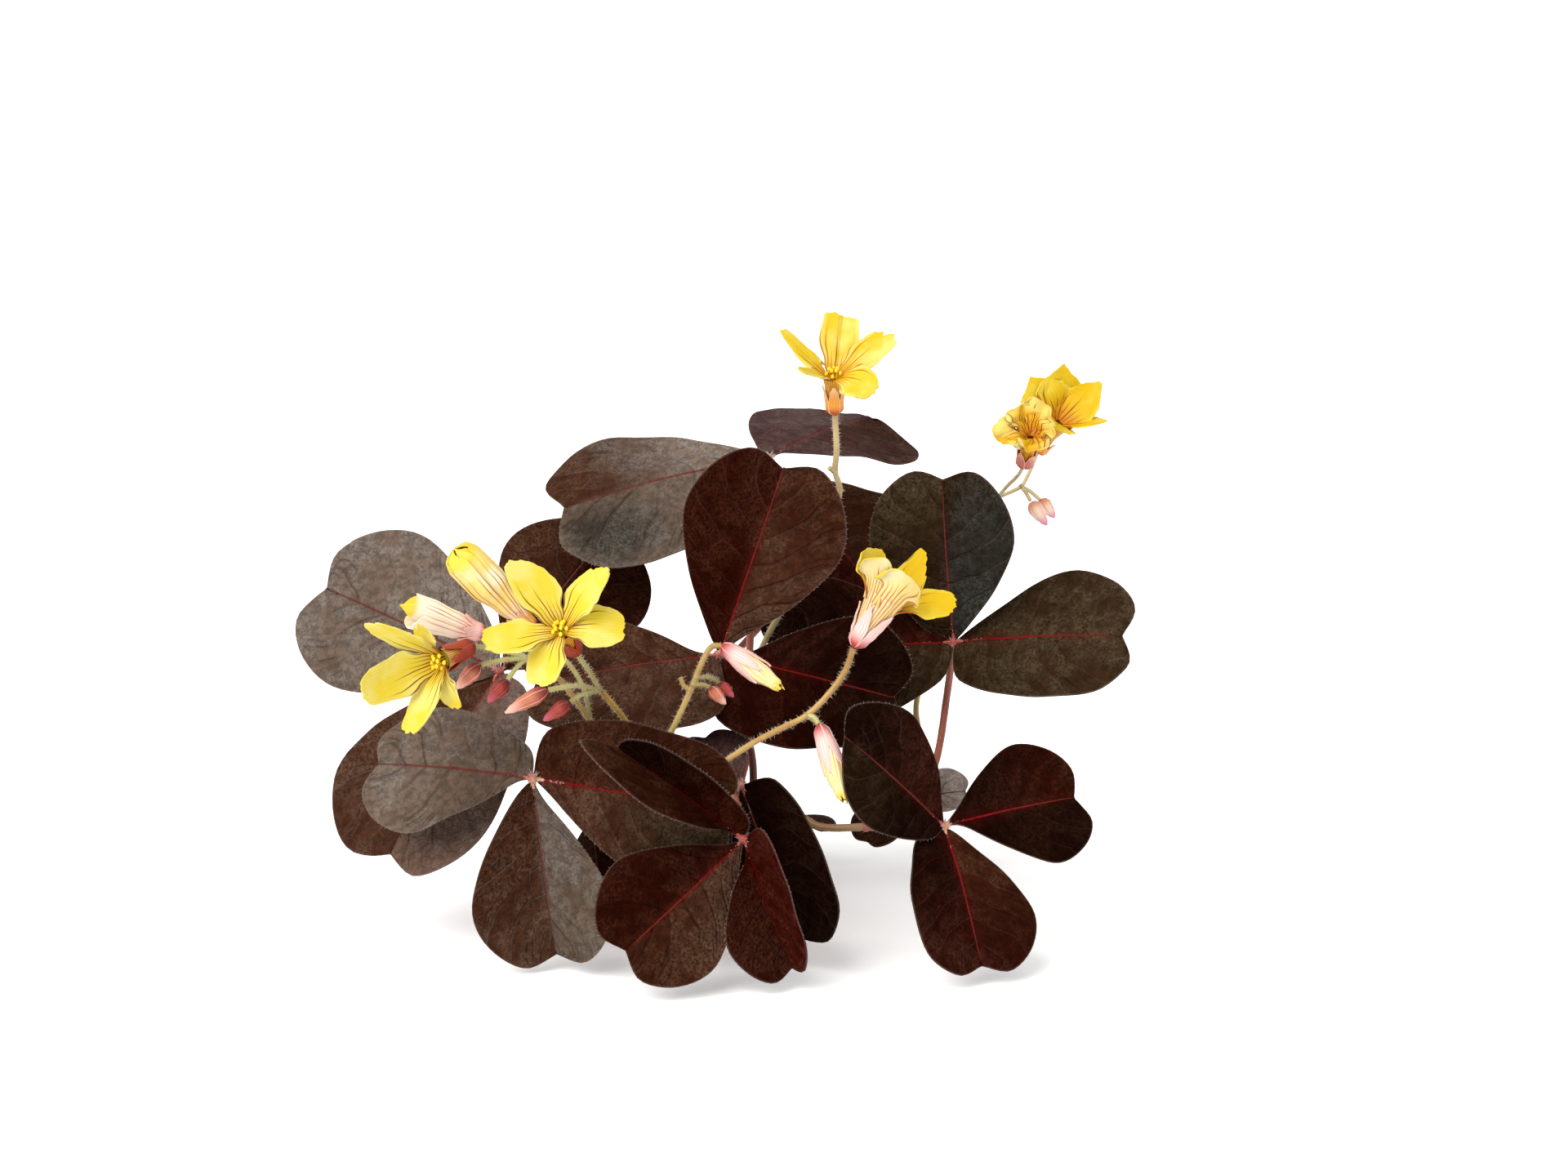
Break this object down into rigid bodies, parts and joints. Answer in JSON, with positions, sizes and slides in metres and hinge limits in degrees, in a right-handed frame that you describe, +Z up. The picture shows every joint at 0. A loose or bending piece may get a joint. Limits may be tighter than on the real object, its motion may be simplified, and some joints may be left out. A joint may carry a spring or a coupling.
{
  "type": "potted oxalis",
  "caption": "Potted oxalis with wine-dark clover-like leaves of notched leaflets and yellow funnel flowers and buds on thin hairy stalks, in a small plain clay pot.",
  "frame": {"origin": "centre of the pot's flat base", "axes": "+Z up out of the pot, +X to the right as seen from the plant's front, which faces -Y"},
  "size_m": [0.1245, 0.0909, 0.0907],
  "materials": {
    "clay": "matte",
    "soil": "matte",
    "leaf": "satin",
    "stem": "satin",
    "stalk": "satin",
    "petal": "satin",
    "calyx": "satin",
    "bud": "satin"
  },
  "bodies": {
    "root": {"bud_dark": "bud", "bud_droop": "bud", "bud_far": "bud", "bud_far_back": "bud", "bud_left": "bud", "bud_low": "bud", "bud_small_low": "bud", "bud_twin_left": "bud", "bud_twin_right": "bud", "calyx_centre": "calyx", "calyx_hanging": "calyx", "calyx_left": "calyx", "calyx_main": "calyx", "calyx_pale": "calyx", "calyx_right": "calyx", "calyx_star": "calyx", "calyx_tall": "calyx", "calyx_top": "calyx", "calyx_wilted": "calyx", "corolla_centre": "petal", "corolla_hanging": "petal", "corolla_left": "petal", "corolla_main": "petal", "corolla_pale": "petal", "corolla_right": "petal", "corolla_star": "petal", "corolla_tall": "petal", "corolla_top": "petal", "corolla_wilted": "petal", "leaf_back_right": "leaf", "leaf_centre": "leaf", "leaf_front": "leaf", "leaf_front_left": "leaf", "leaf_high_back": "leaf", "leaf_inner_left": "leaf", "leaf_left": "leaf", "leaf_low_back_left": "leaf", "leaf_low_back_right": "leaf", "leaf_low_front": "leaf", "leaf_low_right": "leaf", "leaf_right": "leaf", "leaf_top": "leaf", "pot": "clay", "soil": "soil", "stalk_centre": "stalk", "stalk_far_left": "stalk", "stalk_left": "stalk", "stalk_right": "stalk", "stalk_top": "stalk", "stem_back": "stem", "stem_centre": "stem", "stem_front": "stem", "stem_high_back": "stem", "stem_left": "stem", "stem_right": "stem", "stem_top": "stem"}
  },
  "joints": []
}
